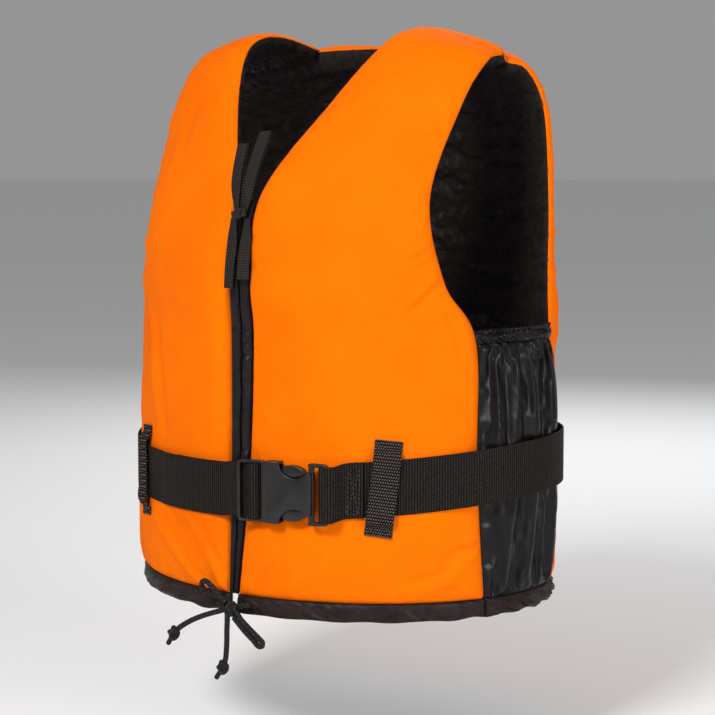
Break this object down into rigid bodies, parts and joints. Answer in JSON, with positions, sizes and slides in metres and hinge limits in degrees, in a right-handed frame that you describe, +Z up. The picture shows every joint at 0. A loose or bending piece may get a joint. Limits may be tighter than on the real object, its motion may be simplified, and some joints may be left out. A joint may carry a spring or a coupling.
{
  "type": "life jacket",
  "caption": "Padded foam life jacket with a V neck and armholes, a tied front opening, a waist belt with a side-release buckle and a hem drawcord.",
  "frame": {"origin": "between the wearer's shoulders, at the height where the shoulder straps rest on them, on the vest's centre plane", "axes": "+Z up, +X to the wearer's left, the vest's front faces -Y"},
  "size_m": [0.4471, 0.3613, 0.5958],
  "materials": {
    "orange_shell": "matt woven nylon",
    "foam": "matt closed-cell foam",
    "lining": "crinkled satin nylon",
    "thin_nylon": "thin glossy nylon",
    "webbing": "ribbed polypropylene webbing",
    "ribbon": "ribbed ribbon",
    "cord": "braided cord",
    "buckle_plastic": "satin moulded plastic"
  },
  "bodies": {
    "vest": {"front_shell_left": "orange_shell", "front_shell_right": "orange_shell", "back_shell": "orange_shell", "front_foam_left": "foam", "front_foam_right": "foam", "back_foam": "foam", "front_lining_left": "lining", "front_lining_right": "lining", "back_lining": "lining", "front_binding_left": "thin_nylon", "front_binding_right": "thin_nylon", "side_panel_left": "thin_nylon", "side_panel_right": "thin_nylon", "side_elastic_left": "thin_nylon", "side_elastic_right": "thin_nylon", "hem_side_left": "thin_nylon", "hem_side_right": "thin_nylon", "hem_front_left": "thin_nylon", "hem_front_right": "thin_nylon", "hem_back": "thin_nylon", "belt": "webbing", "belt_sewn_end": "webbing", "belt_adjuster_strap": "webbing", "belt_loop_front_left": "webbing", "belt_loop_front_right": "webbing", "belt_loop_back_left": "webbing", "belt_loop_back_right": "webbing", "buckle_female": "buckle_plastic", "neck_bow_knot": "ribbon", "neck_bow_loop_left": "ribbon", "neck_bow_loop_right": "ribbon", "drawcord_knot": "cord", "drawcord_run_left": "cord", "drawcord_run_right": "cord", "drawcord_loop_left": "cord", "drawcord_loop_right": "cord", "drawcord_tail_left": "cord", "drawcord_tail_right": "cord", "drawcord_stop_left": "cord", "drawcord_stop_right": "cord"},
    "buckle_male_end": {"buckle_male": "buckle_plastic", "belt_free_end": "webbing"},
    "upper_prong": {"buckle_prong_upper": "buckle_plastic"},
    "lower_prong": {"buckle_prong_lower": "buckle_plastic"},
    "ribbon_tail_left": {"neck_bow_tail_left": "ribbon"},
    "ribbon_tail_right": {"neck_bow_tail_right": "ribbon"}
  },
  "joints": [
    {"name": "buckle_release", "type": "slide", "parent": "vest", "child": "buckle_male_end", "axis": [-0.9778, -0.2096, 0], "range_m": [0, 0.042], "deforming": ["belt_adjuster_strap"]},
    {"name": "upper_prong_press", "type": "hinge", "parent": "buckle_male_end", "child": "upper_prong", "pos_m": [0.04284, -0.17664, -0.37785], "axis": [-0.2096, 0.9778, 0], "range_deg": [0, 8], "stiffness_Nm_per_rad": 0.5},
    {"name": "lower_prong_press", "type": "hinge", "parent": "buckle_male_end", "child": "lower_prong", "pos_m": [0.04284, -0.17664, -0.41285], "axis": [0.2096, -0.9778, 0], "range_deg": [0, 8], "stiffness_Nm_per_rad": 0.5},
    {"name": "left_ribbon_swing", "type": "hinge", "parent": "vest", "child": "ribbon_tail_left", "pos_m": [0.0096, -0.1645, -0.156], "axis": [-1, 0, 0], "range_deg": [0, 60]},
    {"name": "right_ribbon_swing", "type": "hinge", "parent": "vest", "child": "ribbon_tail_right", "pos_m": [-0.003, -0.1655, -0.156], "axis": [-1, 0, 0], "range_deg": [0, 60]}
  ]
}
